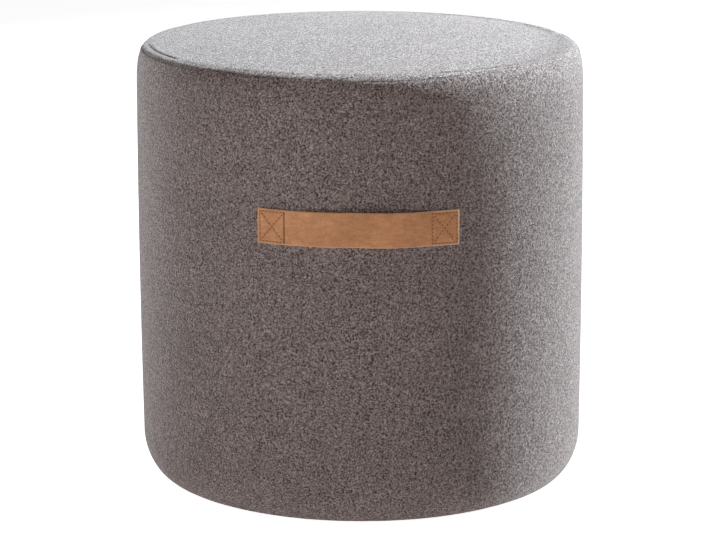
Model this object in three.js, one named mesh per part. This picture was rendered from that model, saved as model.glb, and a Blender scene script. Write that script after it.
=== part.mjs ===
// A round pouf: firmly filled wool cloth panels and a leather strap handle sewn to the front.
// Millimetres, +Z up. The origin is the middle of the underside, and the front faces -Y.
import * as THREE from 'three';
import { mergeVertices } from 'three/addons/utils/BufferGeometryUtils.js';

// Overall size
const RADIUS = 200;
const HEIGHT = 400;
const CROWN = 8.5; // how far the top swells above its rim
const DRAWN_IN = 1.4; // how much narrower the wall is at its ends than at mid-height
const LEAN = -2; // how far the top stands to the left of the base
const SHOULDER = { inset: 12.6, height: 38.8, fullness: 2.65 }; // the rounded top edge
const FOOT = { inset: 21, height: 35.4, fullness: 1.8 }; // the softer rounding at the floor

// Seam between the top and side panels, and the waves in which it wanders round the rim
const SEAM_HEIGHT = 386.7;
const SEAM_DEPTH = 1.2;
const SEAM_REACH = 2.4; // how far above and below the seam the cloth is drawn in
const SEAM_FOLLOW = 30; // how far below the seam its waves are still felt
const SEAM_WAVES = [
  { waves: 3, height: 0.85, crest: 17 },
  { waves: 4, height: 1.4, crest: 35 },
  { waves: 6, height: 1.2, crest: -14 },
];

// Underside
const BASE_RADIUS = 168;
const BASE_THICKNESS = 2.2;
const BASE_EDGE = 0.7;

// Leather strap: angles are from the front, positive towards +X
const STRAP = { width: 30, thickness: 2.4, height: 262, from: -25.4, to: 24.3 };
const STRAP_SEWN = 24; // length of each end that is stitched flat
const STRAP_BOW = 3.5; // how far the middle stands off the wall
const STRAP_SAG = 0.4;
const STRAP_EDGE = 0.5; // bevel of the outer edge

const GAP = 0.3; // left between pieces that touch
const STEPS_AROUND = 96;

const WOOL = { color: 0x78706d, roughness: 0.95, metalness: 0 };
const LEATHER = { color: 0xa8754c, roughness: 0.6, metalness: 0 };
const BASE_CLOTH = { color: 0x2a292a, roughness: 0.9, metalness: 0 };

const RIM_HEIGHT = HEIGHT - CROWN;

// How far a rounded edge has drawn in at t, from 0 where it starts to 1 at its end
function roundedInset(edge, t) {
  const reach = 1 - Math.min(Math.max(t, 0), 1) ** edge.fullness;
  return edge.inset * (1 - reach ** (1 / edge.fullness));
}

// Radius of the outer face at height z
function wallRadius(z) {
  const fromMiddle = (2 * z) / RIM_HEIGHT - 1;
  const foot = roundedInset(FOOT, 1 - z / FOOT.height);
  const shoulder = roundedInset(SHOULDER, 1 - (RIM_HEIGHT - z) / SHOULDER.height);
  return RADIUS - DRAWN_IN * fromMiddle ** 2 - foot - shoulder;
}

// Height of the seam above its mean at an angle from the front, in radians
function seamWave(angle) {
  let rise = 0;
  for (const { waves, height, crest } of SEAM_WAVES) {
    rise += height * Math.cos(waves * (angle - THREE.MathUtils.degToRad(crest)));
  }
  return rise;
}

// How far the cloth is drawn in at a height above or below the seam
function seamGroove(offset) {
  return SEAM_DEPTH * Math.max(0, 1 - Math.abs(offset) / SEAM_REACH) ** 1.5;
}

// Profile points on the outer face, at the given heights
function facePoints(heights) {
  return heights.map((z) => new THREE.Vector2(wallRadius(z) - seamGroove(z - SEAM_HEIGHT), z));
}

// Heights from one to another in equal steps, both ends included
function heightsBetween(low, high, steps) {
  return Array.from({ length: steps + 1 }, (_, i) => low + ((high - low) * i) / steps);
}

// Heights up a rounded edge, closer together where it turns most
function heightsRound(start, end, steps) {
  return Array.from({ length: steps }, (_, i) => {
    const turn = (Math.PI / 2) * ((i + 1) / steps);
    return start + (end - start) * Math.sin(turn);
  });
}

// Moves a point of the outer face with the seam's waves, keeping it on the face
function followSeam(radius, z, angle) {
  const fromSeam = Math.abs(z - SEAM_HEIGHT) - GAP / 2;
  const reach = z > SEAM_HEIGHT ? RIM_HEIGHT - SEAM_HEIGHT - GAP / 2 : SEAM_FOLLOW;
  const moved = z + seamWave(angle) * Math.max(0, 1 - fromSeam / reach);
  const onFace = z <= RIM_HEIGHT && radius > BASE_RADIUS;
  return onFace ? [radius + wallRadius(moved) - wallRadius(z), moved] : [radius, z];
}

// A closed solid of revolution that follows the seam and the lean
function turnedPanel(profile) {
  const lathe = new THREE.LatheGeometry(profile, STEPS_AROUND);
  lathe.deleteAttribute('normal');
  lathe.deleteAttribute('uv');
  lathe.rotateX(Math.PI / 2);
  const place = lathe.attributes.position;
  for (let i = 0; i < place.count; i += 1) {
    const angle = Math.atan2(place.getX(i), -place.getY(i));
    const radius = Math.hypot(place.getX(i), place.getY(i));
    const [r, z] = followSeam(radius, place.getZ(i), angle);
    place.setXYZ(i, r * Math.sin(angle) + (LEAN * z) / HEIGHT, -r * Math.cos(angle), z);
  }
  return finished(lathe);
}

function finished(geometry) {
  const closed = mergeVertices(geometry, 1e-3);
  closed.computeVertexNormals();
  return closed;
}

function sidePanel() {
  const top = SEAM_HEIGHT - GAP / 2;
  const recess = BASE_RADIUS + GAP;
  const foot = heightsBetween(0, 1, 8).map((t) => FOOT.height * (1 - Math.cos((Math.PI / 2) * t)));
  const wall = heightsBetween(FOOT.height, RIM_HEIGHT - SHOULDER.height, 6).slice(1);
  const shoulder = heightsRound(RIM_HEIGHT - SHOULDER.height, top - SEAM_REACH, 7);
  const lip = heightsBetween(top - SEAM_REACH, top, 3).slice(1);
  return turnedPanel([
    new THREE.Vector2(0, BASE_THICKNESS + GAP),
    new THREE.Vector2(recess, BASE_THICKNESS + GAP),
    new THREE.Vector2(recess, 0),
    ...facePoints([...foot, ...wall, ...shoulder, ...lip]),
    new THREE.Vector2(0, top),
  ]);
}

function topPanel() {
  const bottom = SEAM_HEIGHT + GAP / 2;
  const lip = heightsBetween(bottom, bottom + SEAM_REACH, 3);
  const shoulder = heightsRound(bottom + SEAM_REACH, RIM_HEIGHT, 5);
  const rim = wallRadius(RIM_HEIGHT);
  const crown = heightsBetween(1, 0, 9).slice(1);
  return turnedPanel([
    new THREE.Vector2(0, bottom),
    ...facePoints([...lip, ...shoulder]),
    ...crown.map((q) => new THREE.Vector2(rim * q, RIM_HEIGHT + CROWN * (1 - q * q))),
  ]);
}

function basePanel() {
  return turnedPanel([
    new THREE.Vector2(0, 0),
    new THREE.Vector2(BASE_RADIUS - BASE_EDGE, 0),
    new THREE.Vector2(BASE_RADIUS, BASE_EDGE),
    new THREE.Vector2(BASE_RADIUS, BASE_THICKNESS),
    new THREE.Vector2(0, BASE_THICKNESS),
  ]);
}

// A flat strip bent round the wall: sewn down at its ends, bowed off the wall between them
function strapHandle() {
  const middle = THREE.MathUtils.degToRad((STRAP.from + STRAP.to) / 2);
  const length = THREE.MathUtils.degToRad(STRAP.to - STRAP.from) * RADIUS;
  const strip = new THREE.BoxGeometry(length, STRAP.thickness, STRAP.width, 44, 2, 6);
  strip.deleteAttribute('normal');
  strip.deleteAttribute('uv');
  const place = strip.attributes.position;
  for (let i = 0; i < place.count; i += 1) {
    const outer = place.getY(i) < -STRAP.thickness / 4;
    const along = bevelled(place.getX(i), length / 2, outer);
    const across = bevelled(place.getZ(i), STRAP.width / 2, outer);
    const bow = strapBow(along, length);
    const z = STRAP.height + across - STRAP_SAG * bow;
    const r = wallRadius(z) + GAP + STRAP.thickness / 2 - place.getY(i) + STRAP_BOW * bow;
    const angle = middle + along / RADIUS;
    place.setXYZ(i, r * Math.sin(angle) + (LEAN * z) / HEIGHT, -r * Math.cos(angle), z);
  }
  return finished(strip);
}

// Draws a point at the outer face's edge in by the bevel
function bevelled(value, half, outer) {
  return outer && Math.abs(value) > half - 1e-3 ? Math.sign(value) * (half - STRAP_EDGE) : value;
}

// 0 where the strap is sewn down, rising to 1 in its middle
function strapBow(along, length) {
  const free = length / 2 - STRAP_SEWN;
  return Math.abs(along) < free ? Math.cos((Math.PI / 2) * (along / free)) ** 2 : 0;
}

function piece(name, geometry, finish) {
  const mesh = new THREE.Mesh(geometry, new THREE.MeshStandardMaterial(finish));
  mesh.name = name;
  return mesh;
}

const pouf = new THREE.Group();
pouf.add(piece('side_panel', sidePanel(), WOOL));
pouf.add(piece('top_panel', topPanel(), WOOL));
pouf.add(piece('base_panel', basePanel(), BASE_CLOTH));
pouf.add(piece('strap_handle', strapHandle(), LEATHER));

export default pouf;
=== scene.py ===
import math

import bmesh
import bpy
from mathutils import Matrix, Vector
from mathutils.kdtree import KDTree


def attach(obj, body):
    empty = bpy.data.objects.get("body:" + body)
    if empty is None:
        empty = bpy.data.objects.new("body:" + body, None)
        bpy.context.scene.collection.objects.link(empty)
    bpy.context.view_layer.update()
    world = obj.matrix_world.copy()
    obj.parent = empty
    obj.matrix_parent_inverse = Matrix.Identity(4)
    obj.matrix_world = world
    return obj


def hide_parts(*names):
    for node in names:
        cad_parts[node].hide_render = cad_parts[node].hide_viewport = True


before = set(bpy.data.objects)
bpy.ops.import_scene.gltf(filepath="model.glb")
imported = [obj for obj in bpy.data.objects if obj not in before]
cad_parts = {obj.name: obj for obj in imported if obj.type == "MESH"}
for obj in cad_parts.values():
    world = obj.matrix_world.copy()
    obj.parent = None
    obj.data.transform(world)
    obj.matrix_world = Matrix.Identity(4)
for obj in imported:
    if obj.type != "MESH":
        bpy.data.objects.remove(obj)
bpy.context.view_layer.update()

# Outline of the pouf
RADIUS = 0.200
HEIGHT = 0.3995
CROWN = 0.0084
DRAWN_IN = 0.0014
LEAN = -0.002
SHOULDER = {"inset": 0.0120, "height": 0.0388, "fullness": 3.0}
FOOT = {"inset": 0.021, "height": 0.0354, "fullness": 1.8}
RIM_HEIGHT = HEIGHT - CROWN

# Seam between the top and side panels: its mean height and the waves in which it wanders
SEAM_HEIGHT = 0.3874
SEAM_FOLLOW = 0.030
SEAM_WAVES = [
    {"waves": 3, "height": 0.00085, "crest": 17},
    {"waves": 4, "height": 0.0014, "crest": 35},
    {"waves": 6, "height": 0.0012, "crest": -14},
]
SEAM_HALF_GAP = 0.00022
SEAM_TURNED_IN = 0.005
HIDDEN_SLOPE = 0.001
SIDE_LIP = 0.0011
TOP_LIP = 0.0007
SIDE_BULGE = 0.0005
SIDE_BULGE_BELOW = 0.0014
SIDE_BULGE_REACH = 0.0009
SIDE_BULGE_ROOM = 0.001

# Join of the side panel, down its back
BACK_GATHER = math.radians(12)
BACK_GATHER_POWER = 2.2
BACK_JOIN_DEPTH = 0.0012
BACK_JOIN_REACH = 0.0009

# Underside, with the small rounds that meet in its groove as (outwards, upwards) steps
BASE_RADIUS = 0.168
BASE_THICKNESS = 0.0022
BASE_RECESS = 0.0003
BASE_ROUND = [(-0.0007, 0.0002), (-0.0002, 0.0006), (0, 0.0012)]
MARGIN_ROUND = [(0, 0.0008), (0.0003, 0.0002), (0.0009, 0)]
SKIN_FROM_GROOVE = 0.004

# How finely the cover and the underside are divided
COLUMNS = 256
FOOT_STEPS = 16
WALL_STEPS = 46
SHOULDER_STEPS = 14
BULGE_STEPS = 5
LIP_STEPS = 6
RIM_STEPS = 9
CROWN_STEPS = 40
BASE_COLUMNS = 160
BASE_STEPS = 20

# Strap handle: angles in degrees from the front, positive towards +X
STRAP_FROM = -25.4
STRAP_TO = 24.3
STRAP_HEIGHT = 0.262
STRAP_WIDTH = 0.030
STRAP_THICKNESS = 0.0024
STRAP_SEWN = 0.024
STRAP_BOW = 0.0035
STRAP_BOW_SHIFT = 0.022
STRAP_LEFT_RISE = 0.0007
STRAP_MIDDLE_RISE = 0.0008
STRAP_RIGHT_RISE = -0.0006
STRAP_LEFT_DIP = 0.0008
STRAP_RIGHT_DIP = 0.0004
STRAP_CORNER = 0.0012
STRAP_LENGTH = math.radians(STRAP_TO - STRAP_FROM) * RADIUS
STRAP_MIDDLE = math.radians(STRAP_FROM + STRAP_TO) / 2
STRAP_CLEARANCE = 0.0003
COVER_FREED = 8
STRAP_COLUMNS = 330
STRAP_ROWS = 62
EDGE_GATHER = 0.003
EDGE_GATHER_POWER = 1.6
EDGE_ROUND = 0.0005
EDGE_ROUND_REACH = 0.0005
EDGE_WEAR_REACH = 0.0006
# From here to the right-hand end the strap's edges are painted paler: a painted highlight where they face the
# light from the right
END_HIGHLIGHT_FROM = 0.03

# Stitching of the strap's ends
STITCH_PITCH = 0.0033
STITCH_LENGTH = 0.0021
STITCH_WIDTH = 0.00085
STITCH_FLATNESS = 1.3
STITCH_MARGIN = 0.0022
STITCH_PRESS = 0.00032
STITCH_PRESS_REACH = 0.0008
STITCH_STANDS = 0.0001
TIGHT_LENGTH = STITCH_PITCH * 0.98
TIGHT_PRESS = 0.0009
TIGHT_REACH = 0.0006
LINE_STEP = 0.0005
HOLE_HALF_SIZES = (0.00058, 0.000464, 0.00012)
HOLE_STANDS = 0.00002
THREAD_END = Vector((STRAP_LENGTH / 2 - 0.0068, -STRAP_WIDTH / 2 + 0.0058))
THREAD_END_REACH = 0.0021
THREAD_END_BEADS = 6
THREAD_END_BEAD = 0.4
THREAD_BEAD = {"poles": Matrix.Rotation(math.pi / 2, 4, "Y"), "around": 8, "rings": 7}
HOLE_DISC = {"poles": Matrix.Identity(4), "around": 10, "rings": 5}
OCHRE_FINISH, CREASE_SHADE_FINISH, HOLE_SHADE_FINISH, PALE_FINISH = range(4)

# Colours
WOOL_DARK = (0.043, 0.0315, 0.029, 1)
WOOL_LIGHT = (0.365, 0.288, 0.274, 1)
WOOL_PALE_FIBRE = (0.74, 0.61, 0.59, 1)
WOOL_BLACK_FIBRE = (0.018, 0.013, 0.012, 1)
LEATHER_TAN = (0.70, 0.33, 0.158, 1)
LEATHER_DEEP = (0.53, 0.24, 0.112, 1)
LEATHER_RUBBED = (0.76, 0.43, 0.25, 1)
# Painted shade in the grooves that the thread presses into the leather
LEATHER_STITCH_SHADE = (0.34, 0.13, 0.05, 1)
EDGE_TAN = (0.52, 0.32, 0.19, 1)
EDGE_PALE = (0.74, 0.53, 0.37, 1)
EDGE_FIBRE_AND_HIGHLIGHT = (0.88, 0.74, 0.60, 1)
THREAD_OCHRE = (0.58, 0.27, 0.12, 1)
THREAD_OCHRE_LIT = (0.75, 0.42, 0.23, 1)
# The pulled-tight line's thread is painted dark: painted shade of the crease it cuts into the leather
THREAD_CREASE_SHADE = (0.09, 0.030, 0.014, 1)
THREAD_CREASE_SHADE_LIT = (0.15, 0.055, 0.028, 1)
THREAD_PALE = (0.86, 0.50, 0.31, 1)
THREAD_PALE_LIT = (0.95, 0.68, 0.48, 1)
# Painted shade of the needle holes
HOLE_SHADE_DARK = (0.05, 0.018, 0.008, 1)
HOLE_SHADE_BROWN = (0.12, 0.05, 0.02, 1)
UNDERSIDE_BLACK = (0.016, 0.016, 0.018, 1)
UNDERSIDE_FIBRE = (0.05, 0.05, 0.055, 1)
FLOOR_COLOUR = (0.82, 0.82, 0.82, 1)

# Slow light and dark patches of the wool
WOOL_MOTTLES = [{"Size": 0.06, "Strength": 0.10}, {"Size": 0.014, "Strength": 0.12}]

# Swelling of the filled cover between what holds it in
SWELL = 0.0006
SWELL_VOXEL = 0.006
SWELL_FRAMES = 20
SWELL_PRESSURE = 4
SWELL_STRETCH = 0.01
SWELL_GIVE = 1.5
SWELL_BLEND = 0.005
SWELL_NEIGHBOURS = 12
SWELL_WALL_STEPS = 160
SWELL_CROWN_STEPS = 24
HELD_AT_SEAM = 0.0045
HELD_AT_FLOOR = 0.004
HELD_FROM_RADIUS = 0.17

# Lights, the top one a narrow beam whose lower side passes just over the rim
LIGHTS = [
    {"name": "back_right", "place": (2.1, 1.08, 0.14), "size": 0.6, "power": 153, "colour": (0.81, 0.946, 1)},
    {"name": "back_left", "place": (-1.6, 1.65, 0.75), "size": 0.9, "power": 46, "colour": (0.88, 0.965, 1)},
    {"name": "left_fill", "place": (-1.95, -2.05, 0.7), "size": 1.2, "power": 8.5, "colour": (0.96, 1, 0.99)},
    {"name": "front_fill", "place": (-0.5, -2.7, 1.7), "size": 1.4, "power": 13.5, "colour": (1, 0.9, 0.85)},
]
LIGHT_AIM = (0, 0, 0.2)
TOP_LIGHT = {
    "place": (2.05, 0.8, 2.5), "aim": (-0.071, -0.026, 0.495), "beam": 10.4, "blend": 0.1,
    "softness": 0.03, "power": 1380, "colour": (0.77, 0.935, 1),
}
FLOOR_RADIUS = 9
FLOOR_GLOW = 0.42
FLOOR_WHITENESS = 0.9
WORLD_STRENGTH = 0.05
WORLD_COLOUR = (1, 0.8, 0.7, 1)

# Camera
CAMERA_PLACE = (-0.00345, -2.545, 0.779)
CAMERA_PITCH = 0.2308
CAMERA_LENS = 144.8


# Outline

def spread(start, end, steps):
    """Evenly spaced values from start to end, both among them."""
    return [start + (end - start) * i / steps for i in range(steps + 1)]


def bell(distance, reach):
    """1 at no distance, fading smoothly over the reach."""
    return math.exp(-((distance / reach) ** 2))


def rounded_inset(edge, t):
    """How far a rounded edge has drawn in at t, from 0 where it starts to 1 at its end."""
    reach = 1 - min(max(t, 0), 1) ** edge["fullness"]
    return edge["inset"] * (1 - reach ** (1 / edge["fullness"]))


def wall_radius(z):
    """Radius of the wall at height z, with its foot and its shoulder."""
    from_middle = 2 * z / RIM_HEIGHT - 1
    foot = rounded_inset(FOOT, 1 - z / FOOT["height"])
    shoulder = rounded_inset(SHOULDER, 1 - (RIM_HEIGHT - z) / SHOULDER["height"])
    return RADIUS - DRAWN_IN * from_middle ** 2 - foot - shoulder


def seam_wave(angle):
    """Height of the seam above its mean, at an angle from the front."""
    return sum(w["height"] * math.cos(w["waves"] * (angle - math.radians(w["crest"]))) for w in SEAM_WAVES)


def from_front(point):
    """Angle of a point from the front, positive towards +X."""
    return math.atan2(point.x, -point.y)


def crown_drop(radius):
    """How much lower the shoulder lies, so that the crown runs into it without a crease."""
    rim = wall_radius(RIM_HEIGHT)
    return CROWN * ((radius / rim) ** 2 - 1) if radius > rim else 0


def follow_seam_and_lean(point):
    """Where a point of the straight, even cover goes on the real one."""
    angle, radius, z = from_front(point), math.hypot(point.x, point.y), point.z
    from_seam = abs(z - SEAM_HEIGHT) - SEAM_HALF_GAP
    reach = RIM_HEIGHT - SEAM_HEIGHT if z > SEAM_HEIGHT else SEAM_FOLLOW
    near_skin = radius > BASE_RADIUS and z <= RIM_HEIGHT
    moved = z
    if near_skin:
        moved = z + seam_wave(angle) * min(max(1 - from_seam / reach, 0), 1)
        radius += wall_radius(moved) - wall_radius(z)
    if z > RIM_HEIGHT - SHOULDER["height"] and radius > BASE_RADIUS:
        moved -= crown_drop(radius)
    return Vector((radius * math.sin(angle) + LEAN * moved / HEIGHT, -radius * math.cos(angle), moved))


def skin_normal(z):
    """Outward direction of the wall at height z, as (radius, height)."""
    step = 0.0002
    rise = Vector((wall_radius(z + step) - wall_radius(z - step), 2 * step)).normalized()
    return Vector((rise.y, -rise.x))


# Meshes

def turned(profile, columns=COLUMNS):
    """A closed shape turned about Z, from a profile of (radius, height) points with both ends on Z."""
    bm = bmesh.new()
    points = [bm.verts.new((0, -radius, z)) for radius, z in profile]
    for lower, upper in zip(points, points[1:]):
        bm.edges.new((lower, upper))
    bmesh.ops.spin(
        bm, geom=bm.verts[:] + bm.edges[:], cent=(0, 0, 0), axis=(0, 0, 1),
        angle=math.tau, steps=columns, use_merge=True,
    )
    bmesh.ops.remove_doubles(bm, verts=bm.verts, dist=1e-6)
    bmesh.ops.recalc_face_normals(bm, faces=bm.faces)
    return bm


def as_piece(name, bm, *materials):
    """Makes a smooth object at the origin from a mesh and its materials."""
    mesh = bpy.data.meshes.new(name)
    bm.to_mesh(mesh)
    bm.free()
    mesh.shade_smooth()
    for material in materials:
        mesh.materials.append(material)
    piece = bpy.data.objects.new(name, mesh)
    bpy.context.scene.collection.objects.link(piece)
    return piece


# Swelling of the cover

def plain_profile():
    """The cover's outline without its seam, drawn in by as much as it may swell."""
    rim = wall_radius(RIM_HEIGHT)
    lowered = (HEIGHT - SWELL) / HEIGHT
    wall = spread(0, RIM_HEIGHT, SWELL_WALL_STEPS)
    crown = [1 - i / SWELL_CROWN_STEPS for i in range(1, SWELL_CROWN_STEPS + 1)]
    return [
        (0, 0),
        *[(wall_radius(z) - SWELL, z * lowered) for z in wall],
        *[((rim - SWELL) * q, (RIM_HEIGHT + CROWN * (1 - q * q)) * lowered) for q in crown],
    ]


def held_in(point):
    """Whether the cover is held at a point: at the seam, under the strap's sewn ends, or at the floor."""
    angle, z = from_front(point), point.z
    from_seam = abs(z - SEAM_HEIGHT + SWELL - seam_wave(angle))
    at_seam = from_seam < HELD_AT_SEAM and math.hypot(point.x, point.y) > HELD_FROM_RADIUS
    along = abs((angle - STRAP_MIDDLE) * RADIUS)
    under_end = STRAP_LENGTH / 2 - STRAP_SEWN < along < STRAP_LENGTH / 2
    at_strap = under_end and abs(z - STRAP_HEIGHT) < STRAP_WIDTH / 2
    return at_seam or at_strap or z < HELD_AT_FLOOR


def evaluated_mesh(piece):
    """A mesh of its own, as the piece's modifiers leave it."""
    return bpy.data.meshes.new_from_object(piece.evaluated_get(bpy.context.evaluated_depsgraph_get()))


def swelling():
    """How far the filled cover swells between the places that hold it in: its points and their amounts."""
    bm = turned(plain_profile())
    for vert in bm.verts:
        vert.co.x += LEAN * vert.co.z / HEIGHT
    cover = as_piece("swelling", bm)
    remesh = cover.modifiers.new("even", "REMESH")
    remesh.mode = "VOXEL"
    remesh.voxel_size = SWELL_VOXEL
    even = evaluated_mesh(cover)
    cover.modifiers.clear()
    cover.data = even
    start = [vert.co.copy() for vert in even.vertices]
    held = cover.vertex_groups.new(name="held")
    held.add([i for i, place in enumerate(start) if held_in(place)], 1.0, "REPLACE")
    cloth = cover.modifiers.new("cloth", "CLOTH")
    cloth.settings.vertex_group_mass = "held"
    cloth.settings.use_pressure = True
    cloth.settings.uniform_pressure_force = SWELL_PRESSURE
    cloth.settings.shrink_min = -SWELL_STRETCH
    cloth.settings.effector_weights.gravity = 0
    scene = bpy.context.scene
    for step in range(1, SWELL_FRAMES + 1):
        scene.frame_set(step)
    swollen = evaluated_mesh(cover)
    scene.frame_set(1)
    points = KDTree(len(start))
    amounts = []
    for i, (place, vert) in enumerate(zip(start, swollen.vertices)):
        points.insert(place, i)
        amounts.append(SWELL * (1 - math.exp(-(vert.co - place).length * SWELL_GIVE / SWELL)))
    points.balance()
    bpy.data.objects.remove(cover)
    bpy.data.meshes.remove(swollen)
    return points, amounts


def sunk(place, swell):
    """How far the cover lies under its fullest shape at a place."""
    if swell is None:
        return 0
    points, amounts = swell
    near = points.find_n(place, SWELL_NEIGHBOURS)
    weights = [SWELL_BLEND ** 2 / (SWELL_BLEND ** 2 + far * far) for _, _, far in near]
    swollen = sum(amounts[i] * weight for (_, i, _), weight in zip(near, weights))
    return SWELL - swollen / sum(weights)


# Cover

def lip_depth(from_seam, lip):
    """Depth of a panel's rounded edge under its skin, at a distance from the seam."""
    short = min(max(1 - from_seam / lip, 0), 1)
    return lip * (1 - math.sqrt(1 - short * short))


def side_bulge(from_seam):
    """How far the side panel stands out just below the seam, where its edge is folded in."""
    return SIDE_BULGE * bell(from_seam - SIDE_BULGE_BELOW, SIDE_BULGE_REACH)


def beside_seam(lip, direction):
    """Heights of a panel's skin next to the seam, from its turned edge outwards."""
    from_seam = [SEAM_HALF_GAP + lip * (1 - math.cos(t)) for t in spread(0, math.pi / 2, LIP_STEPS)]
    return [SEAM_HEIGHT + direction * distance for distance in from_seam]


def side_profile():
    """The side panel's outline: the recess of the underside, the foot, the wall and its turned top edge."""
    foot = [FOOT["height"] * (1 - math.cos(math.pi / 2 * t)) for t in spread(0, 1, FOOT_STEPS)]
    shoulder_start = RIM_HEIGHT - SHOULDER["height"]
    lip_start = SEAM_HEIGHT - SIDE_LIP
    wall = spread(foot[-1], shoulder_start, WALL_STEPS)[1:]
    shoulder = spread(shoulder_start, lip_start - SIDE_BULGE_ROOM, SHOULDER_STEPS)[1:]
    bulge = spread(lip_start - SIDE_BULGE_ROOM, lip_start, BULGE_STEPS)[1:-1]
    turned_edge = bulge + beside_seam(SIDE_LIP, -1)[::-1]
    recess = BASE_RADIUS + BASE_RECESS
    return [
        (0, BASE_THICKNESS + BASE_RECESS),
        (recess, BASE_THICKNESS + BASE_RECESS),
        *[(recess + outwards, upwards) for outwards, upwards in MARGIN_ROUND],
        *[(wall_radius(z), z) for z in foot + wall + shoulder + turned_edge],
        (wall_radius(SEAM_HEIGHT) - SEAM_TURNED_IN, SEAM_HEIGHT - SEAM_HALF_GAP),
        (0, SEAM_HEIGHT - SEAM_HALF_GAP - HIDDEN_SLOPE),
    ]


def top_profile():
    """The top panel's outline: its turned edge, the top of the shoulder and the crown."""
    rim = wall_radius(RIM_HEIGHT)
    turned_edge = beside_seam(TOP_LIP, 1)
    to_rim = RIM_HEIGHT - turned_edge[-1]
    shoulder = [turned_edge[-1] + to_rim * math.sin(t) for t in spread(0, math.pi / 2, RIM_STEPS)[1:]]
    crown = [1 - i / CROWN_STEPS for i in range(1, CROWN_STEPS + 1)]
    return [
        (0, SEAM_HEIGHT + SEAM_HALF_GAP + HIDDEN_SLOPE),
        (wall_radius(SEAM_HEIGHT) - SEAM_TURNED_IN, SEAM_HEIGHT + SEAM_HALF_GAP),
        *[(wall_radius(z), z) for z in turned_edge + shoulder],
        *[(rim * q, RIM_HEIGHT + CROWN * (1 - q * q)) for q in crown],
    ]


def outward(point):
    """Direction in which the cover faces at a point."""
    angle, radius, z = from_front(point), math.hypot(point.x, point.y), point.z
    if z > RIM_HEIGHT:
        facing = Vector((2 * CROWN * radius / wall_radius(RIM_HEIGHT) ** 2, 1)).normalized()
    else:
        facing = skin_normal(z)
    return Vector((facing.x * math.sin(angle), -facing.x * math.cos(angle), facing.y))


def from_join(point):
    """Angle of a point from the side panel's join at the back."""
    return math.pi - abs(from_front(point))


def near_join(point):
    """Whether a point lies where the columns of points are drawn together."""
    return from_join(point) < BACK_GATHER


def gathered_to_join(point):
    """Draws the columns of points together near the join, which needs them closer."""
    if not near_join(point) or math.hypot(point.x, point.y) < 1e-6:
        return point.copy()
    gathered = BACK_GATHER * (from_join(point) / BACK_GATHER) ** BACK_GATHER_POWER
    turn = math.copysign(from_join(point) - gathered, from_front(point))
    return Matrix.Rotation(turn, 3, "Z") @ point


def on_skin(point):
    """Whether a point of the cover lies on its outline, and is not turned in at the seam or the underside."""
    radius = math.hypot(point.x, point.y)
    shows = radius > BASE_RADIUS + SKIN_FROM_GROOVE and radius > wall_radius(point.z) - 1e-5
    return point.z > RIM_HEIGHT or shows


def cover_panel(name, profile, lip, swell, material, joined=False):
    """A padded wool panel from its outline, sunk at its seams; a joined one has its join down the back."""
    bm = turned(profile)
    for vert in bm.verts:
        start = gathered_to_join(vert.co) if joined else vert.co.copy()
        vert.co = follow_seam_and_lean(start)
        # Away from its join, the side panel is shaped by where its points have gone, and not where they were
        judged = vert.co.copy() if joined and not near_join(start) else start
        if on_skin(judged):
            from_seam = max(abs(judged.z - SEAM_HEIGHT) - SEAM_HALF_GAP, 0)
            depth = sunk(vert.co, swell) + lip_depth(from_seam, lip)
            if joined:
                join_groove = BACK_JOIN_DEPTH * bell(from_join(judged) * RADIUS, BACK_JOIN_REACH)
                depth += join_groove - side_bulge(from_seam)
            vert.co -= outward(judged) * depth
    panel = as_piece(name, bm, material)
    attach(panel, "root")
    return panel


# Underside

def underside_panel(material):
    """The flat round cloth under the pouf, inside the side panel's turned-under margin."""
    profile = [
        (0, 0),
        *[(BASE_RADIUS * q, 0) for q in spread(0.05, 0.99, BASE_STEPS)],
        *[(BASE_RADIUS + outwards, upwards) for outwards, upwards in BASE_ROUND],
        (BASE_RADIUS, BASE_THICKNESS),
        (0, BASE_THICKNESS),
    ]
    panel = as_piece("underside_cloth", turned(profile, BASE_COLUMNS), material)
    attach(panel, "root")
    return panel


# Strap handle

def strap_bow(along):
    """0 where the strap is sewn down, rising to 1 a little right of its middle."""
    free = STRAP_LENGTH / 2 - STRAP_SEWN
    share = along / free
    if abs(share) >= 1:
        return 0.0
    shift = STRAP_BOW_SHIFT / free
    return math.cos(math.pi / 2 * (share - shift * (1 - share * share))) ** 2


def strap_rise(along):
    """How far the strap lies above its mean height, as it is not sewn on quite level."""
    share = along / (STRAP_LENGTH / 2)
    left, right = share * (share - 1) / 2, share * (share + 1) / 2
    level = STRAP_LEFT_RISE * left + STRAP_MIDDLE_RISE * (1 - share * share) + STRAP_RIGHT_RISE * right
    dip = STRAP_LEFT_DIP if share < 0 else STRAP_RIGHT_DIP
    return level - dip * 4 * abs(share) * (1 - abs(share))


def strap_point(along, across, lift):
    """The point at a place on the strap, lifted off its inner face."""
    bow = strap_bow(along)
    z = STRAP_HEIGHT + across + strap_rise(along)
    pressed = SWELL * (1 - min(1, bow * COVER_FREED))
    radius = wall_radius(z) - pressed + STRAP_CLEARANCE + STRAP_BOW * bow + lift
    angle = STRAP_MIDDLE + along / RADIUS
    return Vector((radius * math.sin(angle) + LEAN * z / HEIGHT, -radius * math.cos(angle), z))


def stitch_lines():
    """The stitched lines of both ends, each a pair of (along, across) places: a box and its two diagonals."""
    lines = []
    high = STRAP_WIDTH / 2 - STITCH_MARGIN
    for side in (-1, 1):
        outer = side * (STRAP_LENGTH / 2 - STITCH_MARGIN)
        inner = side * (STRAP_LENGTH / 2 - STRAP_SEWN)
        corners = [(outer, -high), (outer, high), (inner, high), (inner, -high)]
        lines += list(zip(corners, corners[1:] + corners[:1]))
        lines += [(corners[0], corners[2]), (corners[1], corners[3])]
    return [(Vector(a), Vector(b)) for a, b in lines]


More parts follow.
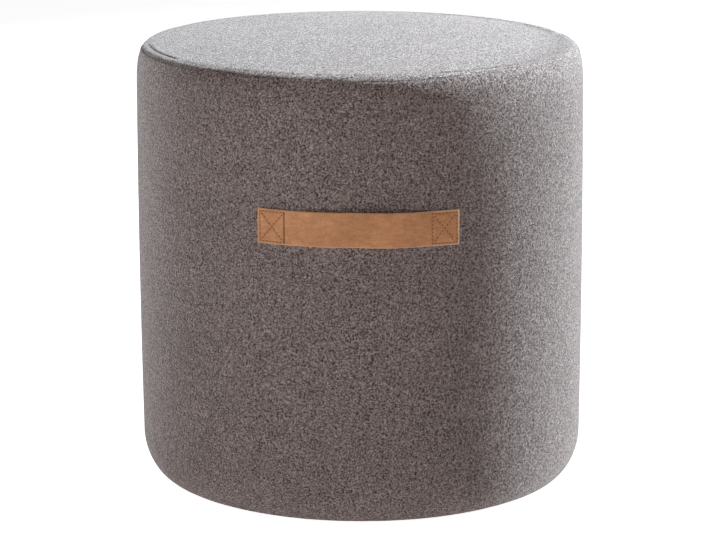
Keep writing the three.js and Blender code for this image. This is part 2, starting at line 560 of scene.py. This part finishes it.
def is_pulled_tight(line):
    """Whether a stitched line is the left end's inner one, whose thread has cut into the leather."""
    inner = -(STRAP_LENGTH / 2 - STRAP_SEWN)
    return all(abs(end.x - inner) < 1e-6 for end in line)


def distance_to(line, place):
    """Distance of a place on the strap from a stitched line."""
    start, end = line
    run = end - start
    share = min(max((place - start).dot(run) / run.length_squared, 0), 1)
    return (place - start - run * share).length


def press_of(line):
    """How deep a line's thread has pressed the leather in, and how wide."""
    return (TIGHT_PRESS, TIGHT_REACH) if is_pulled_tight(line) else (STITCH_PRESS, STITCH_PRESS_REACH)


def stitch_press(lines, place):
    """How far the thread has pressed the leather in at a place."""
    presses = [(distance_to(line, place), *press_of(line)) for line in lines]
    return max(depth * bell(distance, reach) for distance, depth, reach in presses)


def rounded_corner(along, across):
    """Draws a place near the strap's corner in onto a round corner."""
    over_a = abs(along) - (STRAP_LENGTH / 2 - STRAP_CORNER)
    over_b = abs(across) - (STRAP_WIDTH / 2 - STRAP_CORNER)
    if over_a <= 0 or over_b <= 0:
        return along, across
    drawn = 1 - max(over_a, over_b) / math.hypot(over_a, over_b)
    return along - math.copysign(over_a * drawn, along), across - math.copysign(over_b * drawn, across)


def gathered_to_edge(value, half):
    """Draws a grid line that lies near the strap's edge closer to it."""
    from_edge = half - abs(value)
    if from_edge >= EDGE_GATHER:
        return value
    return math.copysign(half - EDGE_GATHER * (from_edge / EDGE_GATHER) ** EDGE_GATHER_POWER, value)


def strap_handle(lines, leather, cut_edge):
    """The leather strap: its face, pressed in at the stitches, with its thickness behind it."""
    bm = bmesh.new()
    size = Matrix.Diagonal((STRAP_LENGTH / 2, STRAP_WIDTH / 2, 1, 1))
    bmesh.ops.create_grid(
        bm, x_segments=STRAP_COLUMNS, y_segments=STRAP_ROWS, size=1, matrix=size, calc_uvs=False,
    )
    for vert in bm.verts:
        vert.co.x = gathered_to_edge(vert.co.x, STRAP_LENGTH / 2)
        vert.co.y = gathered_to_edge(vert.co.y, STRAP_WIDTH / 2)
    places = bm.loops.layers.uv.new("place")
    edge_wear_and_highlight = bm.verts.layers.float.new("edge_wear_and_highlight")
    right_end_highlight = bm.verts.layers.float.new("right_end_highlight")
    stitched = bm.verts.layers.float.new("stitched")
    for face in bm.faces:
        for loop in face.loops:
            loop[places].uv = loop.vert.co.xy
    for vert in bm.verts:
        from_edge = min(STRAP_LENGTH / 2 - abs(vert.co.x), STRAP_WIDTH / 2 - abs(vert.co.y))
        along, across = rounded_corner(vert.co.x, vert.co.y)
        pressed = stitch_press(lines, Vector((along, across)))
        # Nearness to the edge, for rubbed wear and for the painted highlight, and the rise towards the
        # right-hand end, for that painted highlight
        vert[edge_wear_and_highlight] = math.exp(-from_edge / EDGE_WEAR_REACH)
        vert[right_end_highlight] = min(max((along - END_HIGHLIGHT_FROM) / (STRAP_LENGTH / 2 - END_HIGHLIGHT_FROM), 0), 1)
        # Depth of the thread's press, which darkens the leather's colour as painted shade in the stitching's
        # grooves
        vert[stitched] = pressed / STITCH_PRESS
        turned_down = EDGE_ROUND * bell(from_edge, EDGE_ROUND_REACH)
        vert.co = strap_point(along, across, STRAP_THICKNESS - pressed - turned_down)
    bmesh.ops.recalc_face_normals(bm, faces=bm.faces)
    if bm.faces[:][len(bm.faces) // 2].normal.y > 0:
        bmesh.ops.reverse_faces(bm, faces=bm.faces)
    strap = as_piece("leather_strap", bm, leather, cut_edge)
    body = strap.modifiers.new("thickness", "SOLIDIFY")
    body.thickness = STRAP_THICKNESS - EDGE_ROUND
    body.offset = -1
    body.material_offset_rim = 1
    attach(strap, "root")
    return strap


# Stitching

def turned_to(middle, ahead):
    """A frame at a place on the strap: its X along the line of stitches, its Z out of the leather."""
    along = (ahead - middle).normalized()
    side = Vector((middle.x, middle.y, 0)).cross(along).normalized()
    out = along.cross(side)
    return Matrix.Translation(middle) @ Matrix((along, side, out)).transposed().to_4x4()


def on_line(start, run, share, lift):
    """A frame at a share of a stitched line, lifted off the strap's face."""
    place = start + run * share
    ahead = place + run.normalized() * LINE_STEP
    lift += STRAP_THICKNESS
    return turned_to(strap_point(place.x, place.y, lift), strap_point(ahead.x, ahead.y, lift))


def bead(bm, at, half_sizes, shape, finish_index):
    """A rounded bit of thread, or the flat dark disc that paints the shade of a needle hole, in the frame
    that at gives.
    """
    matrix = at @ Matrix.Diagonal((*half_sizes, 1)) @ shape["poles"]
    made = bmesh.ops.create_uvsphere(
        bm, u_segments=shape["around"], v_segments=shape["rings"], radius=1, matrix=matrix,
    )
    for face in {face for vert in made["verts"] for face in vert.link_faces}:
        face.material_index = finish_index


def thread_end(bm):
    """The cut end of the thread, curled over the lower corner of the right-hand box."""
    half_sizes = (THREAD_END_REACH * THREAD_END_BEAD, STITCH_WIDTH / 2, STITCH_WIDTH / 2)
    for i in range(THREAD_END_BEADS):
        turn = math.pi * (1 + (i + 0.5) / THREAD_END_BEADS)
        place = THREAD_END + Vector((math.cos(turn), math.sin(turn))) * THREAD_END_REACH
        run = Vector((-math.sin(turn), math.cos(turn)))
        bead(bm, on_line(place, run, 0, STITCH_WIDTH / 2), half_sizes, THREAD_BEAD, PALE_FINISH)


def stitched_line(bm, line):
    """The stitches of one line, and the discs of painted shade for the needle holes between them."""
    start, end = line
    run = end - start
    press, _ = press_of(line)
    tight = is_pulled_tight(line)
    length = TIGHT_LENGTH if tight else STITCH_LENGTH
    half_sizes = (length / 2, STITCH_WIDTH / 2, STITCH_WIDTH / 2 / STITCH_FLATNESS)
    count = max(2, round(run.length / STITCH_PITCH))
    for i in range(count):
        at = on_line(start, run, (i + 0.5) / count, STITCH_STANDS - press)
        # The pulled-tight line's thread is painted dark as the shade of its crease
        bead(bm, at, half_sizes, THREAD_BEAD, CREASE_SHADE_FINISH if tight else OCHRE_FINISH)
    # Each needle hole is a flat dark disc of painted shade
    for i in range(count + 1):
        at = on_line(start, run, i / count, HOLE_STANDS - press)
        bead(bm, at, HOLE_HALF_SIZES, HOLE_DISC, HOLE_SHADE_FINISH)


def stitching(lines, *finishes):
    """All the stitching of the strap, with its finishes in the order of their numbers."""
    bm = bmesh.new()
    thread_end(bm)
    for line in lines:
        stitched_line(bm, line)
    stitches = as_piece("strap_stitching", bm, *finishes)
    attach(stitches, "root")
    return stitches


# Shader nodes

def node(tree, kind, values=None, **settings):
    """Adds a node, with its settings and with the values or links of its named inputs."""
    made = tree.nodes.new(kind)
    for key, value in settings.items():
        setattr(made, key, value)
    for key, value in (values or {}).items():
        given(tree, made.inputs[key], value)
    return made


def given(tree, socket, value):
    """Gives an input its value, or links it where the value is another node's output."""
    if isinstance(value, bpy.types.NodeSocket):
        tree.links.new(value, socket)
    else:
        socket.default_value = value


def maths(tree, operation, *values, clamp=False):
    """One step of arithmetic on numbers or outputs."""
    made = node(tree, "ShaderNodeMath", dict(enumerate(values)), operation=operation, use_clamp=clamp)
    return made.outputs[0]


def scaled(tree, value, by, clamp=False):
    """A value times a number."""
    return maths(tree, "MULTIPLY", value, by, clamp=clamp)


def noise(tree, place, size, detail=2.0, roughness=0.5):
    """Soft random values from 0 to 1, in patches of the given size in metres."""
    scale = maths(tree, "DIVIDE", 1.0, size)
    values = {"Vector": place, "Scale": scale, "Detail": detail, "Roughness": roughness}
    return node(tree, "ShaderNodeTexNoise", values).outputs["Fac"]


def moved(tree, place, offset):
    """A place shifted by an offset, so that a pattern does not repeat another."""
    return node(tree, "ShaderNodeVectorMath", {0: place, 1: offset}, operation="ADD").outputs[0]


def stretched(tree, place, scale):
    """A place with its axes scaled, so that a pattern runs long or short along them."""
    return node(tree, "ShaderNodeMapping", {"Vector": place, "Scale": scale}).outputs[0]


def faded(tree, value, start, end, low=0.0, high=1.0):
    """Runs smoothly from low to high as the value runs from start to end."""
    values = {"Value": value, "From Min": start, "From Max": end, "To Min": low, "To Max": high}
    return node(tree, "ShaderNodeMapRange", values, interpolation_type="SMOOTHSTEP").outputs["Result"]


def mixed(tree, share, first, second, blend="MIX"):
    """A mix of two colours, by the share of the second."""
    mix = node(tree, "ShaderNodeMix", data_type="RGBA", blend_type=blend, clamp_result=False)
    for socket, value in zip((mix.inputs[0], mix.inputs[6], mix.inputs[7]), (share, first, second)):
        given(tree, socket, value)
    return mix.outputs[2]


def shaded(tree, colour, shade):
    """A colour made lighter or darker by a value around 1."""
    grey = node(tree, "ShaderNodeCombineColor", {"Red": shade, "Green": shade, "Blue": shade}).outputs[0]
    return mixed(tree, 1.0, colour, grey, "MULTIPLY")


def attribute(tree, name):
    """A value that a piece's own points carry."""
    return node(tree, "ShaderNodeAttribute", attribute_name=name).outputs["Fac"]


# Effects that several materials share

def effect(name, inputs, output):
    """A shader node group with a Place and the given numbers as inputs, and one value as output."""
    group = bpy.data.node_groups.new(name, "ShaderNodeTree")
    group.interface.new_socket("Place", in_out="INPUT", socket_type="NodeSocketVector")
    for key, value in inputs.items():
        group.interface.new_socket(key, in_out="INPUT", socket_type="NodeSocketFloat").default_value = value
    group.interface.new_socket(output, in_out="OUTPUT", socket_type="NodeSocketFloat")
    return group, group.nodes.new("NodeGroupInput").outputs, group.nodes.new("NodeGroupOutput").inputs


def placed(tree, group, values):
    """Places an effect in a material with its own values."""
    made = tree.nodes.new("ShaderNodeGroup")
    made.node_tree = group
    for key, value in values.items():
        given(tree, made.inputs[key], value)
    return made.outputs[0]


def soft_mottle():
    """Slow light and dark patches, as in any natural material: a shade around 1."""
    tree, inputs, result = effect("soft_mottle", {"Size": 0.01, "Strength": 0.1}, "Shade")
    patches = noise(tree, inputs["Place"], inputs["Size"], detail=3.0, roughness=0.55)
    centred = maths(tree, "SUBTRACT", patches, 0.5)
    strength = scaled(tree, inputs["Strength"], by=2.0)
    tree.links.new(maths(tree, "MULTIPLY_ADD", centred, strength, 1.0), result["Shade"])
    return tree


def loose_fibres():
    """Thin crooked fibres, broken into short lengths: 1 on a fibre and 0 between."""
    tree, inputs, result = effect("loose_fibres", {"Size": 0.001, "Thickness": 0.03, "Seed": 0.0}, "Fibres")
    seed = node(tree, "ShaderNodeCombineXYZ", {"X": inputs["Seed"], "Y": inputs["Seed"]}).outputs[0]
    place = moved(tree, inputs["Place"], seed)
    bands = noise(tree, place, inputs["Size"], detail=1.0, roughness=0.4)
    from_middle = maths(tree, "ABSOLUTE", maths(tree, "SUBTRACT", bands, 0.5))
    on_fibre = faded(tree, from_middle, 0.0, inputs["Thickness"], low=1.0, high=0.0)
    length = scaled(tree, inputs["Size"], by=1.6)
    breaks = noise(tree, moved(tree, place, offset=(3.1, 1.7, 0.4)), length, detail=0.0)
    kept = faded(tree, breaks, 0.44, 0.54)
    tree.links.new(maths(tree, "MULTIPLY", on_fibre, kept), result["Fibres"])
    return tree


def fine_grain():
    """Fine uneven grain from 0 to 1."""
    tree, inputs, result = effect("fine_grain", {"Size": 0.001}, "Grain")
    grain = noise(tree, inputs["Place"], inputs["Size"], detail=3.0, roughness=0.65)
    tree.links.new(grain, result["Grain"])
    return tree


# Materials

def new_material(name, **shader):
    """A material whose Principled shader has the given constant inputs, with its Object coordinates."""
    material = bpy.data.materials.new(name)
    material.use_nodes = True
    tree = material.node_tree
    tree.nodes.clear()
    constants = {key.replace("_", " "): value for key, value in shader.items()}
    surface = node(tree, "ShaderNodeBsdfPrincipled", constants)
    node(tree, "ShaderNodeOutputMaterial", {"Surface": surface.outputs[0]})
    place = node(tree, "ShaderNodeTexCoord").outputs["Object"]
    return material, tree, surface, place


def finish(tree, surface, colour, roughness, height, depth):
    """Joins colour, roughness and a bump of the given depth in metres to a material's surface."""
    tree.links.new(colour, surface.inputs["Base Color"])
    tree.links.new(roughness, surface.inputs["Roughness"])
    bump = node(tree, "ShaderNodeBump", {"Strength": 1.0, "Distance": depth, "Height": height})
    tree.links.new(bump.outputs[0], surface.inputs["Normal"])


def felted_wool(effects):
    """Mixed grey-brown wool, felted: mid-toned tufts with lighter and darker fibres through them."""
    material, tree, surface, place = new_material(
        "felted_wool_melange", Sheen_Weight=0.10, Sheen_Roughness=0.5,
        Sheen_Tint=(0.95, 0.97, 1, 1), Specular_IOR_Level=0.2,
    )
    tufts = noise(tree, place, size=0.0012, detail=2.0, roughness=0.6)
    light = placed(tree, effects["fibres"], {"Place": place, "Size": 0.0015, "Thickness": 0.06, "Seed": 0.7})
    dark = placed(tree, effects["fibres"], {"Place": place, "Size": 0.0017, "Thickness": 0.055, "Seed": 2.9})
    fine = placed(tree, effects["grain"], {"Place": place, "Size": 0.0005})
    colour = mixed(tree, faded(tree, tufts, 0.37, 0.63), WOOL_DARK, WOOL_LIGHT)
    colour = mixed(tree, scaled(tree, light, by=0.85), colour, WOOL_PALE_FIBRE)
    colour = mixed(tree, scaled(tree, dark, by=0.5), colour, WOOL_BLACK_FIBRE)
    colour = shaded(tree, colour, faded(tree, fine, 0.3, 0.7, low=0.85, high=1.15))
    for mottle in WOOL_MOTTLES:
        colour = shaded(tree, colour, placed(tree, effects["mottle"], {"Place": place, **mottle}))
    height = maths(tree, "ADD", scaled(tree, tufts, by=0.7), scaled(tree, light, by=0.35))
    height = maths(tree, "ADD", height, scaled(tree, fine, by=0.25))
    roughness = faded(tree, fine, 0.2, 0.8, low=0.88, high=1.0)
    finish(tree, surface, colour, roughness, height, depth=0.0006)
    return material


def tan_leather(effects):
    """Vegetable-tanned strap leather: matt, mottled, paler at its rubbed edges, with a painted highlight on
    its edges towards the right-hand end and painted shade where the thread presses it in.
    """
    material, tree, surface, place = new_material("tan_leather", Specular_IOR_Level=0.28)
    along = stretched(tree, node(tree, "ShaderNodeUVMap", uv_map="place").outputs[0], scale=(0.35, 1, 1))
    streaks = placed(tree, effects["mottle"], {"Place": along, "Size": 0.0035, "Strength": 0.34})
    clouds = placed(tree, effects["mottle"], {"Place": place, "Size": 0.022, "Strength": 0.22})
    pores = placed(tree, effects["grain"], {"Place": place, "Size": 0.0012})
    creases = placed(
        tree, effects["fibres"], {"Place": place, "Size": 0.0024, "Thickness": 0.03, "Seed": 1.3},
    )
    colour = mixed(tree, faded(tree, clouds, 0.85, 1.15), LEATHER_DEEP, LEATHER_TAN)
    colour = shaded(tree, colour, streaks)
    colour = shaded(tree, colour, faded(tree, pores, 0.3, 0.7, low=0.86, high=1.14))
    edge_wear_and_highlight = attribute(tree, "edge_wear_and_highlight")
    rub = maths(tree, "MULTIPLY", edge_wear_and_highlight, faded(tree, streaks, 0.8, 1.2, low=0.35, high=0.9))
    colour = mixed(tree, rub, colour, LEATHER_RUBBED)
    # Painted highlight: the face's edges are painted paler towards the right-hand end, which faces the light
    # from the right
    painted_end_highlight = maths(tree, "MULTIPLY", edge_wear_and_highlight, attribute(tree, "right_end_highlight"))
    colour = mixed(tree, painted_end_highlight, colour, EDGE_PALE)
    # Painted shade: the leather is darkened by the depth of the thread's press, most along the pulled-tight
    # line
    pressed = scaled(tree, attribute(tree, "stitched"), by=0.2, clamp=True)
    colour = mixed(tree, pressed, colour, LEATHER_STITCH_SHADE)
    height = maths(tree, "SUBTRACT", pores, scaled(tree, creases, by=0.3))
    roughness = faded(tree, pores, 0.2, 0.8, low=0.56, high=0.72)
    finish(tree, surface, colour, roughness, height, depth=0.00016)
    return material


def leather_cut_edge(effects):
    """The strap's raw edge: pale, fibrous and matt, and painted paler towards the right-hand end as a
    highlight.
    """
    material, tree, surface, place = new_material("leather_cut_edge", Specular_IOR_Level=0.2)
    layers = stretched(tree, place, scale=(0.4, 0.4, 1.6))
    strands = placed(
        tree, effects["fibres"], {"Place": layers, "Size": 0.0006, "Thickness": 0.06, "Seed": 4.1},
    )
    fibres = scaled(tree, strands, by=0.5)
    grain = placed(tree, effects["grain"], {"Place": place, "Size": 0.0005})
    clouds = placed(tree, effects["mottle"], {"Place": place, "Size": 0.008, "Strength": 0.18})
    colour = mixed(tree, faded(tree, grain, 0.35, 0.65), EDGE_TAN, EDGE_PALE)
    # Painted highlight: the cut edge is painted paler towards the right-hand end
    colour = mixed(tree, attribute(tree, "right_end_highlight"), colour, EDGE_FIBRE_AND_HIGHLIGHT)
    colour = shaded(tree, mixed(tree, fibres, colour, EDGE_FIBRE_AND_HIGHLIGHT), clouds)
    roughness = faded(tree, grain, 0.2, 0.8, low=0.8, high=0.95)
    finish(tree, surface, colour, roughness, maths(tree, "ADD", grain, fibres), depth=0.0002)
    return material


def sewing_thread(name, colour, lit, effects):
    """Waxed sewing thread with its fine twist."""
    material, tree, surface, place = new_material(name, Specular_IOR_Level=0.35)
    twist = placed(tree, effects["fibres"], {"Place": place, "Size": 0.0003, "Thickness": 0.08, "Seed": 5.3})
    clouds = placed(tree, effects["mottle"], {"Place": place, "Size": 0.003, "Strength": 0.2})
    grain = placed(tree, effects["grain"], {"Place": place, "Size": 0.0002})
    tone = shaded(tree, mixed(tree, twist, colour, lit), clouds)
    roughness = faded(tree, grain, 0.2, 0.8, low=0.5, high=0.7)
    finish(tree, surface, tone, roughness, maths(tree, "ADD", twist, grain), depth=0.00008)
    return material


def needle_hole_shade(effects):
    """Painted shade for a needle hole: dark brown on a flat disc where the hole lies."""
    material, tree, surface, place = new_material("needle_hole_shade", Specular_IOR_Level=0.1)
    grain = placed(tree, effects["grain"], {"Place": place, "Size": 0.0003})
    colour = mixed(tree, grain, HOLE_SHADE_DARK, HOLE_SHADE_BROWN)
    roughness = faded(tree, grain, 0.2, 0.8, low=0.85, high=0.95)
    finish(tree, surface, colour, roughness, grain, depth=0.00005)
    return material


def dark_underside_cloth(effects):
    """Black spun cloth under the pouf, with a light dust on it."""
    material, tree, surface, place = new_material(
        "dark_underside_cloth", Specular_IOR_Level=0.2, Sheen_Weight=0.15,
    )
    fibres = placed(tree, effects["fibres"], {"Place": place, "Size": 0.0014, "Thickness": 0.06, "Seed": 6.7})
    grain = placed(tree, effects["grain"], {"Place": place, "Size": 0.0006})
    dust = placed(tree, effects["mottle"], {"Place": place, "Size": 0.05, "Strength": 0.3})
    colour = mixed(tree, scaled(tree, fibres, by=0.6), UNDERSIDE_BLACK, UNDERSIDE_FIBRE)
    colour = shaded(tree, colour, dust)
    roughness = faded(tree, grain, 0.2, 0.8, low=0.8, high=0.95)
    finish(tree, surface, colour, roughness, maths(tree, "ADD", grain, fibres), depth=0.0003)
    return material


def pale_floor(effects):
    """A white studio floor, which lights the object from below as well."""
    material, tree, surface, place = new_material("pale_floor", Emission_Strength=1.0)
    clouds = placed(tree, effects["mottle"], {"Place": place, "Size": 0.6, "Strength": 0.02})
    grain = placed(tree, effects["grain"], {"Place": place, "Size": 0.004})
    seen = node(tree, "ShaderNodeLightPath").outputs["Is Camera Ray"]
    glow = mixed(tree, seen, (FLOOR_GLOW,) * 3 + (1,), (FLOOR_WHITENESS,) * 3 + (1,))
    tree.links.new(glow, surface.inputs["Emission Color"])
    roughness = faded(tree, grain, 0.2, 0.8, low=0.85, high=0.95)
    finish(tree, surface, shaded(tree, FLOOR_COLOUR, clouds), roughness, grain, depth=0.00002)
    return material


# Studio

def hung(data, place, aim):
    """Hangs a light at a place, aimed at another."""
    light = bpy.data.objects.new(data.name, data)
    light.location = place
    light.rotation_euler = (Vector(aim) - light.location).to_track_quat("-Z", "Y").to_euler()
    bpy.context.scene.collection.objects.link(light)


def area_light(lamp):
    """A round soft light, aimed at the middle of the pouf."""
    data = bpy.data.lights.new(lamp["name"], "AREA")
    data.shape = "DISK"
    data.size = lamp["size"]
    data.energy = lamp["power"]
    data.color = lamp["colour"]
    hung(data, lamp["place"], LIGHT_AIM)


def top_light():
    """The narrow beam that lights the top."""
    data = bpy.data.lights.new("top_light", "SPOT")
    data.energy = TOP_LIGHT["power"]
    data.color = TOP_LIGHT["colour"]
    data.spot_size = math.radians(TOP_LIGHT["beam"])
    data.spot_blend = TOP_LIGHT["blend"]
    data.shadow_soft_size = TOP_LIGHT["softness"]
    hung(data, TOP_LIGHT["place"], TOP_LIGHT["aim"])


def studio(floor_material):
    """The floor, the lights and a faint warm surround."""
    floor = bmesh.new()
    bmesh.ops.create_circle(floor, cap_ends=True, segments=96, radius=FLOOR_RADIUS)
    as_piece("studio_floor", floor, floor_material)
    for lamp in LIGHTS:
        area_light(lamp)
    top_light()
    world = bpy.data.worlds.new("studio")
    world.use_nodes = True
    background = world.node_tree.nodes["Background"].inputs
    background["Color"].default_value = WORLD_COLOUR
    background["Strength"].default_value = WORLD_STRENGTH
    bpy.context.scene.world = world
    bpy.context.scene.view_settings.view_transform = "Standard"


def camera():
    """The camera at the photograph's viewing angle."""
    data = bpy.data.cameras.new("camera")
    data.lens = CAMERA_LENS
    data.sensor_width = 36
    view = bpy.data.objects.new("camera", data)
    view.location = CAMERA_PLACE
    view.rotation_euler = (math.pi / 2 - CAMERA_PITCH, 0, 0)
    bpy.context.scene.collection.objects.link(view)
    bpy.context.scene.camera = view


# The whole scene

effects = {"mottle": soft_mottle(), "fibres": loose_fibres(), "grain": fine_grain()}
camera()
studio(pale_floor(effects))

wool = felted_wool(effects)
swell = swelling()
side = cover_panel("wool_side_panel", side_profile(), SIDE_LIP, swell, wool, joined=True)
top = cover_panel("wool_top_panel", top_profile(), TOP_LIP, swell, wool)
underside = underside_panel(dark_underside_cloth(effects))
lines = stitch_lines()
strap = strap_handle(lines, tan_leather(effects), leather_cut_edge(effects))
stitching(
    lines,
    sewing_thread("ochre_thread", THREAD_OCHRE, THREAD_OCHRE_LIT, effects),
    sewing_thread("thread_painted_crease_shade", THREAD_CREASE_SHADE, THREAD_CREASE_SHADE_LIT, effects),
    needle_hole_shade(effects),
    sewing_thread("pale_thread_end", THREAD_PALE, THREAD_PALE_LIT, effects),
)

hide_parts("side_panel")
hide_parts("top_panel")
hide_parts("base_panel")
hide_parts("strap_handle")
